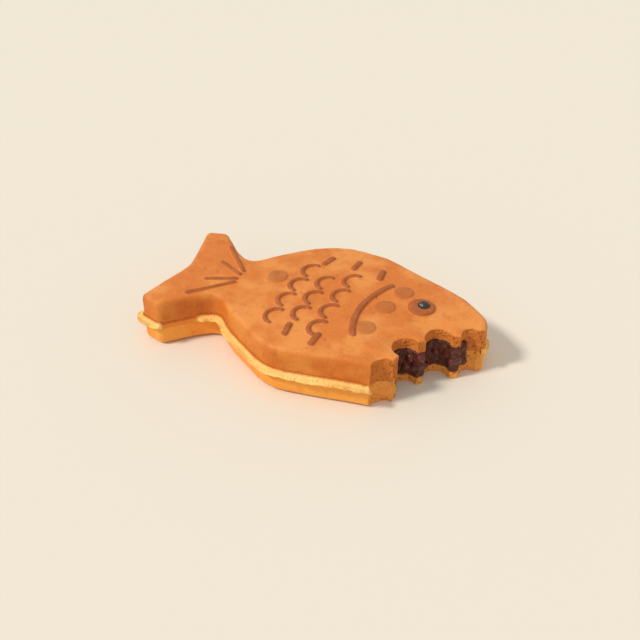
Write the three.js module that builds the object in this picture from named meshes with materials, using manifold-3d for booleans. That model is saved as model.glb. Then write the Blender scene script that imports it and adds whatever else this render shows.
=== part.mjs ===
// Taiyaki: a fish-shaped cake baked between the two plates of an iron and filled with sweet
// bean paste, with a bite taken out of its mouth and cheek.
//
// Millimetres. +X runs from the tail to the head, +Y to the back of the fish and +Z up. The fish
// is drawn about the line that halves its tail, lying on the face that was in the lower plate.
// Each half of the batter is its own solid, and so are the flash that squeezed out between the
// plates, the bean paste and the bead in the eye.

import * as THREE from 'three';
import { mergeVertices } from 'three/addons/utils/BufferGeometryUtils.js';
import Module from 'manifold-3d';

const wasm = await Module();
wasm.setup();

// ---------------------------------------------------------------- driving dimensions

const CAKE_THICKNESS = 24.8;
const SEAM_HEIGHT = 12; // the two halves of the batter meet on this level
const EDGE_RADIUS = 2.4; // the round edge that the iron gives both faces

const PASTE_FLOOR = 4.6; // batter under the paste
const PASTE_TOP = 18.1;
const PASTE_EDGE_RADIUS = 2.2;
const CLEARANCE = 0.3; // kept between pieces that do not rest face to face

const FLASH_BOTTOM = 10;
const FLASH_TOP = 13.25;
const FLASH_WIDTH = 2.8; // how far the flash stands out from the side of the cake
const FLASH_RIPPLE = 0.3;
const FLASH_RIPPLE_PITCH = 17; // along the outline
const FLASH_GRIP = 1.7; // how deep the two halves hold it
const FLASH_EDGE_RADIUS = 0.9;
const FLASH_TRIMMED_AT = [-61, -27.5]; // the flash has broken away under the lower tail lobe
const FLASH_TRIMMED_SPAN = 9.6;
const FLASH_TRIMMED_SHARPNESS = 10; // a higher power gives the break steeper ends
const FLASH_LEAST_WIDTH = 0.2;

const RELIEF_HEIGHT = 0.9; // scales, gill, fin rays and tail rays stand this far off the crust
const RELIEF_ROOT = 1; // and reach this far into it, so that they are one with it
const RELIEF_ROUNDING = 0.45;
const RELIEF_TIP = 1 / 3; // a line's tip reaches past its end by this share of its width

const SCALE_RADIUS = 5.3;
const SCALE_LINE = 1.8;
const SCALE_FROM = THREE.MathUtils.degToRad(83); // a scale is a curl that opens to the head
const SCALE_TO = THREE.MathUtils.degToRad(257);
const SCALE_COLUMN_PITCH = 10.9;
const SCALE_ROW_PITCH = 13.1;
const SCALE_COLUMNS = [ // tail to head: where each column starts, and how many scales it has
  { first: -20.7, count: 4 },
  { first: -14.3, count: 3 },
  { first: -20.7, count: 4 },
];
const FIRST_COLUMN_X = -12.6;

const GILL_CENTRE = [62.9, 0];
const GILL_RADIUS = 43.3;
const GILL_FROM = THREE.MathUtils.degToRad(147.5);
const GILL_TO = THREE.MathUtils.degToRad(206);
const GILL_LINE = 2.5;

const FIN_RAY_LENGTH = 7.7;
const FIN_RAY_LINE = 2.6;
const FIN_RAYS = [ // short dashes under the back and over the belly: middle and lean in degrees
  { x: -9.6, y: 29.8, lean: 75 },
  { x: 4.2, y: 32.1, lean: 87 },
  { x: 18.3, y: 29.1, lean: 98 },
  { x: -4.3, y: -26.9, lean: 96 },
  { x: 9.8, y: -28.2, lean: 86 },
];

const TAIL_RAY_LINE = 1.6;
const TAIL_RAYS = [ // from the root of the tail out into its lobes
  { root: [-43.4, 5.2], tip: [-60, 22] },
  { root: [-43.6, 1.9], tip: [-57.4, 8.3] },
  { root: [-43.4, -1.6], tip: [-57.4, -7.7] },
  { root: [-42.9, -4.3], tip: [-60.1, -21.3] },
];

const SPOT_HEIGHT = 0.45;
const SPOT_SLOPE = 0.35;
const SPOTS = [ // round places that bake browner and stand a little proud
  { x: -26.3, y: 7.9, radius: 4.8 },
  { x: 33.2, y: 20.5, radius: 4.5 },
  { x: 29.5, y: 6.1, radius: 4.6 },
  { x: 27.4, y: -11.3, radius: 4.3 },
];

const EYE_CENTRE = [44.7, 12.8];
const EYE_RADIUS = 6.1;
const EYE_HEIGHT = 1.1;
const EYE_ROUNDING = 0.8;
const BEAD_CENTRE = [45.4, 13.8]; // the fish looks up and ahead
const BEAD_RADIUS = 2.8;
const BEAD_TOP = 3.1; // over the crust
const BEAD_SOCKET_DEPTH = 0.5; // under the crust

// Outlines are corners with a radius each, counter-clockwise seen from above.
const FISH_CORNERS = [
  { x: -79.4, y: -31.4, radius: 3 }, // lower tail lobe
  { x: -68, y: -34.4, radius: 4 },
  { x: -55, y: -21.2, radius: 22 },
  { x: -45.2, y: -15.1, radius: 7 }, // waist
  { x: -35.7, y: -24.5, radius: 30 },
  { x: -8.3, y: -41.6, radius: 22 }, // belly
  { x: 66, y: -29.3, radius: 15 }, // chin, taken by the bite
  { x: 79, y: 3, radius: 12 }, // lips, taken by the bite
  { x: 74.9, y: 18.4, radius: 11 }, // snout
  { x: 61.3, y: 30.1, radius: 40 },
  { x: 45.4, y: 36.4, radius: 60 },
  { x: 28.8, y: 41.6, radius: 60 },
  { x: 15.2, y: 47, radius: 34 }, // back
  { x: -4.6, y: 48.2, radius: 28 },
  { x: -21.2, y: 40.8, radius: 30 },
  { x: -45.2, y: 15, radius: 7 }, // waist
  { x: -55.2, y: 21, radius: 22 },
  { x: -68.3, y: 34.4, radius: 4 }, // upper tail lobe
  { x: -79.4, y: 31.7, radius: 3 },
  { x: -71, y: 0.2, radius: 24 }, // fork of the tail
];

const PASTE_CORNERS = [
  { x: -38, y: -4, radius: 6 }, // towards the tail
  { x: -31, y: -17.5, radius: 14 },
  { x: -8.9, y: -30.3, radius: 24 },
  { x: 70, y: -17.9, radius: 10 }, // taken by the bite
  { x: 68.6, y: 8.4, radius: 3 }, // behind the snout
  { x: 56.5, y: 20.6, radius: 20 },
  { x: 42, y: 26.5, radius: 40 },
  { x: 13.5, y: 36.4, radius: 26 },
  { x: -2.6, y: 37, radius: 22 },
  { x: -16, y: 30, radius: 24 },
  { x: -38, y: 4, radius: 6 },
];

// The bite: the sweep of the jaw and the round mark of each tooth.
const JAW = { x: 80.2, y: -30, radius: 34.2 };
const TOOTH_MARKS = [
  { x: 45.4, y: -32.6, radius: 6.8 },
  { x: 48.2, y: -15.6, radius: 6.4 },
  { x: 58.9, y: -3.2, radius: 6.4 },
  { x: 72.7, y: 4.3, radius: 5.6 },
  { x: 77.6, y: 6, radius: 5.3 },
];

// ---------------------------------------------------------------- how finely curves are cut

const OUTLINE_STEP = THREE.MathUtils.degToRad(14);
const JAW_SIDES = 64;
const TOOTH_SIDES = 20;
const SPOT_SIDES = 20;
const EYE_SIDES = 24;
const EYE_ROUNDING_STEPS = 2;
const BEAD_SIDES = 16;
const BEAD_STEPS = 6;
const SCALE_STEPS = 8;
const GILL_STEPS = 12;
const EDGE_STEPS = 3;
const FLASH_EDGE_STEPS = 2;
const FLASH_STEP = 4.5; // along the straight runs of the outline
const RELIEF_ROUNDING_STEPS = 1;
const OVERSHOOT = 5; // how far a cutter runs past what it cuts

// ---------------------------------------------------------------- outlines

const point = ({ x, y }) => new THREE.Vector2(x, y);

// Points round a polygon whose corners are filleted by their own radii.
function roundedOutline(corners) {
  const outline = [];
  corners.forEach((corner, i) => {
    const here = point(corner);
    const back = point(corners.at(i - 1)).sub(here).normalize();
    const ahead = point(corners[(i + 1) % corners.length]).sub(here).normalize();
    const halfAngle = back.angleTo(ahead) / 2;
    const reach = corner.radius / Math.tan(halfAngle);
    const inward = back.clone().add(ahead).normalize();
    const centre = here.clone().addScaledVector(inward, corner.radius / Math.sin(halfAngle));
    const start = here.clone().addScaledVector(back, reach).sub(centre);
    const end = here.clone().addScaledVector(ahead, reach).sub(centre);
    const turn = Math.atan2(start.cross(end), start.dot(end));
    const steps = Math.max(1, Math.ceil(Math.abs(turn) / OUTLINE_STEP));
    for (let k = 0; k <= steps; k += 1) {
      outline.push(start.clone().rotateAround(new THREE.Vector2(), (turn * k) / steps).add(centre));
    }
  });
  return outline;
}

// The outline moved outwards along its own normals, by one distance or by one for each point.
function offsetOutline(outline, distanceAt) {
  return outline.map((here, i) => {
    const before = outline.at(i - 1);
    const after = outline[(i + 1) % outline.length];
    const along = here.clone().sub(before).normalize();
    const onward = after.clone().sub(here).normalize();
    const tangent = along.clone().add(onward).normalize();
    const normal = new THREE.Vector2(tangent.y, -tangent.x);
    const mitre = tangent.dot(onward);
    return here.clone().addScaledVector(normal, distanceAt(here, i) / mitre);
  });
}

// ---------------------------------------------------------------- solids

// A closed three.js geometry as a manifold solid.
function solid(geometry) {
  geometry.deleteAttribute('normal');
  geometry.deleteAttribute('uv');
  const welded = mergeVertices(geometry);
  const corners = welded.index.array;
  const triangles = [];
  for (let i = 0; i < corners.length; i += 3) {
    const [a, b, c] = corners.slice(i, i + 3);
    if (a !== b && b !== c && c !== a) triangles.push(a, b, c);
  }
  return new wasm.Manifold(new wasm.Mesh({
    numProp: 3,
    vertProperties: welded.attributes.position.array,
    triVerts: Uint32Array.from(triangles),
  }));
}

// An upright slab over an outline, from one level to another, with round edges if asked for.
function slab(outline, bottom, top, edgeRadius = 0, edgeSteps = EDGE_STEPS) {
  const geometry = new THREE.ExtrudeGeometry(new THREE.Shape(outline), {
    depth: top - bottom - 2 * edgeRadius,
    bevelEnabled: edgeRadius > 0,
    bevelThickness: edgeRadius,
    bevelSize: edgeRadius,
    bevelOffset: -edgeRadius,
    bevelSegments: edgeSteps,
  });
  geometry.translate(0, 0, bottom + edgeRadius);
  return solid(geometry);
}

function roundPeg({ x, y, radius }, bottom, top, sides) {
  const geometry = new THREE.CylinderGeometry(radius, radius, top - bottom, sides);
  geometry.rotateX(Math.PI / 2);
  geometry.translate(x, y, (top + bottom) / 2);
  return solid(geometry);
}

// A turned form about an upright axis: the profile gives radius and height, bottom to top.
function turned(profile, [x, y], sides) {
  const outline = profile.map(([radius, height]) => new THREE.Vector2(radius, height));
  const geometry = new THREE.LatheGeometry(outline, sides);
  geometry.rotateX(Math.PI / 2);
  geometry.translate(x, y, CAKE_THICKNESS);
  return solid(geometry);
}

const joined = (solids) => solids.reduce((sum, next) => sum.add(next));

// ---------------------------------------------------------------- the cake

const fishOutline = roundedOutline(FISH_CORNERS);
const pasteOutline = roundedOutline(PASTE_CORNERS);

function biteSolid() {
  const bottom = -OVERSHOOT;
  const top = CAKE_THICKNESS + OVERSHOOT;
  const marks = TOOTH_MARKS.map((mark) => roundPeg(mark, bottom, top, TOOTH_SIDES));
  return joined([roundPeg(JAW, bottom, top, JAW_SIDES), ...marks]);
}

// The paste, or the hollow that it lies in, which is wider and higher by the clearance.
function pasteSolid(room) {
  const outline = offsetOutline(pasteOutline, () => room);
  return slab(outline, PASTE_FLOOR, PASTE_TOP + room, PASTE_EDGE_RADIUS);
}

// The band round the side of the cake that both halves leave free for the flash.
function flashSeat() {
  const inner = offsetOutline(fishOutline, () => -FLASH_GRIP - CLEARANCE);
  const outer = offsetOutline(fishOutline, () => OVERSHOOT);
  return slab(outer, FLASH_BOTTOM, FLASH_TOP).subtract(slab(inner, 0, CAKE_THICKNESS));
}

// The outline with its long runs cut into even steps, none longer than the given one.
function inSteps(outline, longest) {
  return outline.flatMap((here, i) => {
    const next = outline[(i + 1) % outline.length];
    const steps = Math.ceil(here.distanceTo(next) / longest);
    return Array.from({ length: steps }, (_, k) => here.clone().lerp(next, k / steps));
  });
}

const flashOutline = inSteps(fishOutline, FLASH_STEP);
const lengthAlong = [0];
for (let i = 1; i < flashOutline.length; i += 1) {
  lengthAlong.push(lengthAlong[i - 1] + flashOutline[i].distanceTo(flashOutline[i - 1]));
}

// The flash ripples along the outline and thins out where it has broken away.
function flashWidthAt(here, i) {
  const ripple = FLASH_RIPPLE * Math.sin((2 * Math.PI * lengthAlong[i]) / FLASH_RIPPLE_PITCH);
  const fromTrim = here.distanceTo(new THREE.Vector2(...FLASH_TRIMMED_AT)) / FLASH_TRIMMED_SPAN;
  const kept = 1 - Math.exp(-(fromTrim ** FLASH_TRIMMED_SHARPNESS));
  return FLASH_LEAST_WIDTH + (FLASH_WIDTH + ripple - FLASH_LEAST_WIDTH) * kept;
}

function flashSolid() {
  const outer = offsetOutline(flashOutline, flashWidthAt);
  const inner = offsetOutline(fishOutline, () => -FLASH_GRIP);
  const plate = slab(outer, FLASH_BOTTOM, FLASH_TOP, FLASH_EDGE_RADIUS, FLASH_EDGE_STEPS);
  return plate.subtract(slab(inner, 0, CAKE_THICKNESS));
}

// ---------------------------------------------------------------- relief on the upper face

// A raised line along a path, rounded over and drawn in to a blunt tip at both ends.
function ridge(path, line) {
  const left = [];
  const right = [];
  path.forEach((here, i) => {
    const before = path[Math.max(i - 1, 0)];
    const after = path[Math.min(i + 1, path.length - 1)];
    const along = after.clone().sub(before).normalize();
    const across = new THREE.Vector2(-along.y, along.x).multiplyScalar(line / 2);
    left.push(here.clone().add(across));
    right.push(here.clone().sub(across));
  });
  const bottom = CAKE_THICKNESS - RELIEF_ROOT;
  const top = CAKE_THICKNESS + RELIEF_HEIGHT;
  const tipAt = (end, next) => end.clone().add(end.clone().sub(next).setLength(line * RELIEF_TIP));
  const startTip = tipAt(path[0], path[1]);
  const endTip = tipAt(path.at(-1), path.at(-2));
  const outline = [startTip, ...right, endTip, ...left.reverse()];
  return slab(outline, bottom, top, RELIEF_ROUNDING, RELIEF_ROUNDING_STEPS);
}

function arcPath([x, y], radius, from, to, steps) {
  const path = [];
  for (let k = 0; k <= steps; k += 1) {
    const angle = from + ((to - from) * k) / steps;
    path.push(new THREE.Vector2(x + radius * Math.cos(angle), y + radius * Math.sin(angle)));
  }
  return path;
}

const straightPath = (from, to) => [new THREE.Vector2(...from), new THREE.Vector2(...to)];

function scaleRidges() {
  return SCALE_COLUMNS.flatMap(({ first, count }, column) => {
    const x = FIRST_COLUMN_X + column * SCALE_COLUMN_PITCH;
    return Array.from({ length: count }, (_, row) => {
      const centre = [x, first + row * SCALE_ROW_PITCH];
      return ridge(arcPath(centre, SCALE_RADIUS, SCALE_FROM, SCALE_TO, SCALE_STEPS), SCALE_LINE);
    });
  });
}

function gillRidge() {
  return ridge(arcPath(GILL_CENTRE, GILL_RADIUS, GILL_FROM, GILL_TO, GILL_STEPS), GILL_LINE);
}

function finRidges() {
  return FIN_RAYS.map(({ x, y, lean }) => {
    const angle = THREE.MathUtils.degToRad(lean);
    const half = new THREE.Vector2(Math.cos(angle), Math.sin(angle)).setLength(FIN_RAY_LENGTH / 2);
    return ridge(straightPath([x - half.x, y - half.y], [x + half.x, y + half.y]), FIN_RAY_LINE);
  });
}

function tailRidges() {
  return TAIL_RAYS.map(({ root, tip }) => ridge(straightPath(root, tip), TAIL_RAY_LINE));
}

function toastedSpots() {
  return SPOTS.map(({ x, y, radius }) => turned([
    [0, -RELIEF_ROOT],
    [radius, -RELIEF_ROOT],
    [radius, SPOT_HEIGHT - SPOT_SLOPE],
    [radius - SPOT_SLOPE, SPOT_HEIGHT],
    [0, SPOT_HEIGHT],
  ], [x, y], SPOT_SIDES));
}

// Points of a turned profile on an arc, as radius and height, without the arc's last point.
function profileArc(radiusAt, heightAt, radius, from, to, steps) {
  return Array.from({ length: steps }, (_, k) => {
    const angle = from + ((to - from) * k) / steps;
    return [radiusAt + radius * Math.cos(angle), heightAt + radius * Math.sin(angle)];
  });
}

const UPRIGHT = Math.PI / 2;

function eyeButton() {
  const shoulder = EYE_RADIUS - EYE_ROUNDING;
  const springing = EYE_HEIGHT - EYE_ROUNDING;
  return turned([
    [0, -RELIEF_ROOT],
    [EYE_RADIUS, -RELIEF_ROOT],
    ...profileArc(shoulder, springing, EYE_ROUNDING, 0, UPRIGHT, EYE_ROUNDING_STEPS),
    [shoulder, EYE_HEIGHT],
    [0, EYE_HEIGHT],
  ], EYE_CENTRE, EYE_SIDES);
}

function eyeSocket() {
  const [x, y] = BEAD_CENTRE;
  const radius = BEAD_RADIUS + CLEARANCE;
  const floor = CAKE_THICKNESS - BEAD_SOCKET_DEPTH;
  return roundPeg({ x, y, radius }, floor, CAKE_THICKNESS + OVERSHOOT, BEAD_SIDES);
}

// A round bead, flattened where it sits on the floor of its socket.
function beadSolid() {
  const middle = BEAD_TOP - BEAD_RADIUS;
  const lowest = Math.asin((-BEAD_SOCKET_DEPTH - middle) / BEAD_RADIUS);
  return turned([
    [0, -BEAD_SOCKET_DEPTH],
    ...profileArc(0, middle, BEAD_RADIUS, lowest, UPRIGHT, BEAD_STEPS),
    [0, BEAD_TOP],
  ], BEAD_CENTRE, BEAD_SIDES);
}

// ---------------------------------------------------------------- the pieces

const bite = biteSolid();
const hollow = pasteSolid(CLEARANCE);
const wholeCake = slab(fishOutline, 0, CAKE_THICKNESS, EDGE_RADIUS);
const block = offsetOutline(fishOutline, () => OVERSHOOT);
const aboveSeam = slab(block, SEAM_HEIGHT, CAKE_THICKNESS + OVERSHOOT);
const belowSeam = slab(block, -OVERSHOOT, SEAM_HEIGHT);
const seat = flashSeat();

function upperBatter() {
  const lines = [...scaleRidges(), gillRidge(), ...finRidges(), ...tailRidges()];
  const reliefs = [...lines, ...toastedSpots(), eyeButton()];
  const crust = wholeCake.intersect(aboveSeam).subtract(seat).subtract(hollow);
  return crust.add(joined(reliefs)).subtract(eyeSocket()).subtract(bite);
}

function lowerBatter() {
  return wholeCake.intersect(belowSeam).subtract(seat).subtract(hollow).subtract(bite);
}

const PIECES = [
  { name: 'upper_batter', make: upperBatter, color: '#d98a45', roughness: 0.62 },
  { name: 'lower_batter', make: lowerBatter, color: '#e5a45f', roughness: 0.66 },
  { name: 'seam_flash', make: () => flashSolid().subtract(bite), color: '#f0bd72', roughness: 0.6 },
  { name: 'bean_paste', make: () => pasteSolid(0).subtract(bite), color: '#4a2923', roughness: 0.45 },
  { name: 'eye_bead', make: beadSolid, color: '#2b2420', roughness: 0.25 },
];

function pieceMesh({ name, make, color, roughness }) {
  const { vertProperties, triVerts } = make().getMesh();
  const geometry = new THREE.BufferGeometry();
  geometry.setAttribute('position', new THREE.BufferAttribute(vertProperties, 3));
  geometry.setIndex(new THREE.BufferAttribute(triVerts, 1));
  geometry.computeVertexNormals();
  const material = new THREE.MeshStandardMaterial({ color, roughness, metalness: 0 });
  const mesh = new THREE.Mesh(geometry, material);
  mesh.name = name;
  return mesh;
}

// The part's origin is the middle of its box, on the surface that it lies on.
const fish = new THREE.Group();
fish.add(...PIECES.map(pieceMesh));
const middle = new THREE.Box3().setFromObject(fish).getCenter(new THREE.Vector3());
fish.position.set(-middle.x, -middle.y, 0);

const taiyaki = new THREE.Group();
taiyaki.add(fish);

export default taiyaki;
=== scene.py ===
# %% [markdown]
# # A bitten taiyaki
# A taiyaki is a cake baked in a hinged iron shaped like a fish. Two shells of batter close round sweet
# bean paste, and the batter that squeezes out of the joint bakes into a thin crisp flash. The solid model
# holds the true sizes. This script gives each solid the surface of the real food, in the same place.

# %% Load the solid model
import itertools
import math

import bmesh
import bpy
import numpy as np
from mathutils import Matrix
from mathutils import Vector
from mathutils.bvhtree import BVHTree
from mathutils.kdtree import KDTree


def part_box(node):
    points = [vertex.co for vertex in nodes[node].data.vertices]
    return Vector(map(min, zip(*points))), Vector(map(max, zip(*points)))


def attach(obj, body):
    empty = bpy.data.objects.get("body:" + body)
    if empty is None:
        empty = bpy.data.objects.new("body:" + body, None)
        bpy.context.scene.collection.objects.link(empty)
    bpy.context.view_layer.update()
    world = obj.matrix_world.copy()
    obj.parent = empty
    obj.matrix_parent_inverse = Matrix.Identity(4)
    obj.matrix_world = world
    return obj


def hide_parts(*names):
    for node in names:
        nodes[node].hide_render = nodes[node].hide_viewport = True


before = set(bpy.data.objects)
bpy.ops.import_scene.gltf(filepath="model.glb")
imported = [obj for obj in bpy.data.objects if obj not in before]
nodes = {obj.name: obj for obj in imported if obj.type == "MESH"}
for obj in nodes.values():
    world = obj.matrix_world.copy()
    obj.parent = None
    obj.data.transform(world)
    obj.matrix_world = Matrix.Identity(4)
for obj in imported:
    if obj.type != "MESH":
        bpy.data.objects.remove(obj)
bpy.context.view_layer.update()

print("solids:", sorted(nodes))

# %% [markdown]
# ## The sizes that everything follows
# Blender works in metres, but a cake is easier to think about in millimetres, so the sculpting is done in
# millimetres and turned back at the end. The fish was drawn round its own middle. The eye tells where
# that middle lies in the frame, so that the bite and the toasted spots can be named by their drawn places.

# %% Heights and the drawing's middle
MM = 0.001
EYE_DRAWN_AT = Vector((45.4, 13.8))
EYE_BUTTON_HEIGHT = 1.1

eye_low, eye_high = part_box("eye_bead")
shell_low, shell_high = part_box("upper_batter")
paste_low, paste_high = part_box("bean_paste")
eye_middle = (eye_low + eye_high) / 2 / MM
drawing_middle = eye_middle.xy - EYE_DRAWN_AT
SEAM_Z = shell_low.z / MM
CRUST_Z = shell_high.z / MM - EYE_BUTTON_HEIGHT
PASTE_FLOOR_Z = paste_low.z / MM
PASTE_TOP_Z = paste_high.z / MM
print("seam at", round(SEAM_Z, 2), "mm, crust at", round(CRUST_Z, 2), "mm")

# %% [markdown]
# ## The camera
# A camera that looks at one point is placed most simply from that point: walk out along a direction given
# by a turn round the object and a height angle. The lens is a normal one, so the fish isn't distorted.

# %% Place the camera
LOOK_AT = Vector((-0.0065, 0.0119, 0.0))
CAMERA_TURN = math.radians(24.58)
CAMERA_RISE = math.radians(37.33)
CAMERA_DISTANCE = 0.4448
CAMERA_LENS = 50.46

out_of_target = Vector((
    math.sin(CAMERA_TURN) * math.cos(CAMERA_RISE),
    -math.cos(CAMERA_TURN) * math.cos(CAMERA_RISE),
    math.sin(CAMERA_RISE),
))
camera_data = bpy.data.cameras.new("camera")
camera_data.lens = CAMERA_LENS
camera_data.clip_start = 0.01
camera = bpy.data.objects.new("camera", camera_data)
camera.location = LOOK_AT + out_of_target * CAMERA_DISTANCE
camera.rotation_euler = (-out_of_target).to_track_quat("-Z", "Y").to_euler()
bpy.context.scene.collection.objects.link(camera)
bpy.context.scene.camera = camera
print("camera at", [round(v, 4) for v in camera.location])

# %% [markdown]
# ## Floor and light
# Food looks best in soft light from one side. A sun lamp with a wide disc lights the floor evenly, which a
# lamp close to the table doesn't, and still throws a soft shadow. The world's own light fills that shadow.
# The Standard view keeps each colour as it is mixed, so that the crust can be matched.

# %% A pale floor, a soft sun and a bright room
FLOOR_HALF_WIDTH = 3.0
FLOOR_Z = -0.00003
FLOOR_COLOUR = (0.876, 0.797, 0.656, 1)
SUN_FROM = Vector((-0.72, -0.69, 1.02))
SUN_STRENGTH = 1.87
SUN_DISC = math.radians(10)
ROOM_LIGHT = 0.585

floor_mesh = bpy.data.meshes.new("floor")
floor_corners = [
    (x * FLOOR_HALF_WIDTH, y * FLOOR_HALF_WIDTH, FLOOR_Z) for x, y in ((-1, -1), (1, -1), (1, 1), (-1, 1))
]
floor_mesh.from_pydata(floor_corners, [], [(0, 1, 2, 3)])
floor = bpy.data.objects.new("floor", floor_mesh)
bpy.context.scene.collection.objects.link(floor)

floor_paint = bpy.data.materials.new("floor")
floor_paint.use_nodes = True
floor_shader = floor_paint.node_tree.nodes["Principled BSDF"]
floor_shader.inputs["Base Color"].default_value = FLOOR_COLOUR
floor_shader.inputs["Roughness"].default_value = 0.9
floor_shader.inputs["Specular IOR Level"].default_value = 0.1
floor_mesh.materials.append(floor_paint)

sun_data = bpy.data.lights.new("sun", "SUN")
sun_data.energy = SUN_STRENGTH
sun_data.angle = SUN_DISC
sun = bpy.data.objects.new("sun", sun_data)
sun.rotation_euler = (-SUN_FROM).to_track_quat("-Z", "Y").to_euler()
bpy.context.scene.collection.objects.link(sun)

world = bpy.data.worlds.new("room")
world.use_nodes = True
world.node_tree.nodes["Background"].inputs["Strength"].default_value = ROOM_LIGHT
world.node_tree.nodes["Background"].inputs["Color"].default_value = (1, 1, 1, 1)
bpy.context.scene.world = world
bpy.context.scene.view_settings.view_transform = "Standard"
print("sun of", SUN_STRENGTH, "and a room of", ROOM_LIGHT)

# %% [markdown]
# ## Noise to sculpt with
# Baked batter is never even. Three small helpers make that unevenness. `chance` gives every cell of a
# grid its own fixed number, so each run gives the same cake. `lumps` blends those numbers into soft hills,
# and `bubbles` puts one bubble in each cell, for pores. The seed only picks which numbers are used, so each
# noise has one of its own. All take whole arrays of points, which is far quicker than one vertex at a time.

# %% Chance, lumps and bubbles
CELL_MIX = np.array([73856093, 19349663, 83492791], np.uint32)
TILT = np.array(Matrix.Rotation(0.7, 3, Vector((1, 2, 3))))


def ease(value, start, end):
    """0 before start, 1 after end, and a smooth step between them."""
    share = np.clip((value - start) / (end - start), 0, 1)
    return share * share * (3 - 2 * share)


def chance(cells, seed):
    """A fixed number from 0 to 1 for each whole-number cell."""
    key = np.bitwise_xor.reduce(cells.astype(np.int64).astype(np.uint32) * CELL_MIX, axis=-1)
    key = key ^ np.uint32(seed * 2654435761 % 2 ** 32)
    key = (key ^ (key >> 15)) * np.uint32(2246822519)
    key = (key ^ (key >> 13)) * np.uint32(3266489917)
    return (key ^ (key >> 16)) / 2 ** 32


def lumps(points, size, seed):
    """Soft noise from -1 to 1 whose hills are about size mm across."""
    place = points @ TILT / size
    cell = np.floor(place)
    step = place - cell
    step = step ** 3 * (step * (step * 6 - 15) + 10)
    total = np.zeros(len(points))
    for corner in itertools.product((0, 1), repeat=3):
        weight = np.prod(np.where(corner, step, 1 - step), axis=1)
        total += weight * chance(cell + corner, seed)
    return total * 2 - 1


def bubbles(points, spacing, seed):
    """How far the nearest bubble's middle is from each point, in mm, and that bubble's own number."""
    place = points / spacing
    cell = np.floor(place)
    nearest = np.full(len(points), np.inf)
    number = np.zeros(len(points))
    for step in itertools.product((-1, 0, 1), repeat=3):
        there = cell + step
        middle = there + np.stack([chance(there, seed + axis) for axis in range(3)], axis=1)
        distance = np.linalg.norm(place - middle, axis=1)
        closer = distance < nearest
        nearest = np.where(closer, distance, nearest)
        number = np.where(closer, chance(there, seed + 3), number)
    return nearest * spacing, number


def pit_depth(points, spacing, seed, share, smallest=0.15, largest=0.45):
    """Depth of round pits, in mm. Share is how many cells hold one; radii are parts of the spacing."""
    distance, number = bubbles(points, spacing, seed)
    radius = spacing * (smallest + (largest - smallest) * number / share)
    return np.where(number < share, np.sqrt(np.clip(radius ** 2 - distance ** 2, 0, None)), 0)


print("noise at one point:", lumps(np.array([[1.0, 2.0, 3.0]]), 5, 1).round(3))

# %% [markdown]
# ## From a plain solid to a surface that can be sculpted
# The solids have long thin faces, which can't carry fine detail. The Remesh modifier covers a copy in an
# even net of small squares, and the Smooth modifier takes away its stair steps. The squares are about half
# a millimetre wide, four to the width of a moulded line. The copy is then free to change, while the solid
# it came from stays as it was.

# %% Remesh, read, write and mark


def remeshed_copy(name, node_name, square, smoothing, extra=None):
    """A copy of a solid as an even net of squares, with the bmesh `extra` merged into it if given."""
    net = bmesh.new()
    net.from_mesh(nodes[node_name].data)
    if extra is not None:
        net.from_mesh(extra)
    mesh = bpy.data.meshes.new(name)
    net.to_mesh(mesh)
    net.free()
    piece = bpy.data.objects.new(name, mesh)
    bpy.context.scene.collection.objects.link(piece)
    remesh = piece.modifiers.new("remesh", "REMESH")
    remesh.mode = "VOXEL"
    remesh.voxel_size = square * MM
    smooth = piece.modifiers.new("smooth", "SMOOTH")
    smooth.iterations = smoothing
    smooth.factor = 0.5
    keep_result(piece)
    return piece


def keep_result(piece):
    """Applies the piece's modifiers."""
    shown = piece.evaluated_get(bpy.context.evaluated_depsgraph_get())
    piece.data = bpy.data.meshes.new_from_object(shown)
    piece.modifiers.clear()
    piece.data.name = piece.name


def read_points(mesh):
    """The vertices in drawing millimetres."""
    flat = np.empty(len(mesh.vertices) * 3, np.float32)
    mesh.vertices.foreach_get("co", flat)
    points = flat.reshape(-1, 3).astype(float) / MM
    points[:, :2] -= drawing_middle
    return points


def write_points(mesh, points):
    """Puts drawing millimetres back as vertices."""
    placed = points.copy()
    placed[:, :2] += drawing_middle
    mesh.vertices.foreach_set("co", (placed * MM).astype(np.float32).ravel())
    mesh.update()


def read_normals(mesh):
    flat = np.empty(len(mesh.vertices) * 3, np.float32)
    mesh.vertex_normals.foreach_get("vector", flat)
    return flat.reshape(-1, 3).astype(float)


def mark(piece, name, values):
    """Stores a mask on the vertices, for the material to read."""
    layer = piece.data.attributes.new(name, "FLOAT", "POINT")
    layer.data.foreach_set("value", np.clip(values, 0, 1).astype(np.float32))


print("one millimetre is", MM, "in Blender's metres")

# %% [markdown]
# ## The bite
# One wide circle is the jaw and five small ones are the teeth. The distance from a point to the nearest of
# them tells how deep in the cake it lies: nought on the torn face, and more towards the tail. Everything
# that belongs to the bite follows from this one number, such as where crumb shows and where paste oozes.

# %% Distance from the bite
BITE_CIRCLES = np.array([
    (80.2, -30.0, 34.2),
    (45.4, -32.6, 6.8),
    (48.2, -15.6, 6.4),
    (58.9, -3.2, 6.4),
    (72.7, 4.3, 5.6),
    (77.6, 6.0, 5.3),
])


def from_bite(points):
    """Distance into the cake from the torn face, in mm, and the direction that leads further in."""
    away = points[:, None, :2] - BITE_CIRCLES[None, :, :2]
    reach = np.linalg.norm(away, axis=2)
    depth = reach - BITE_CIRCLES[:, 2]
    nearest = np.argmin(depth, axis=1)
    rows = np.arange(len(points))
    inward = np.zeros((len(points), 3))
    inward[:, :2] = away[rows, nearest] / reach[rows, nearest][:, None]
    return depth[rows, nearest], inward


print("the eye is", round(float(from_bite(np.array([[*EYE_DRAWN_AT, 0]]))[0][0]), 1), "mm from the bite")

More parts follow.
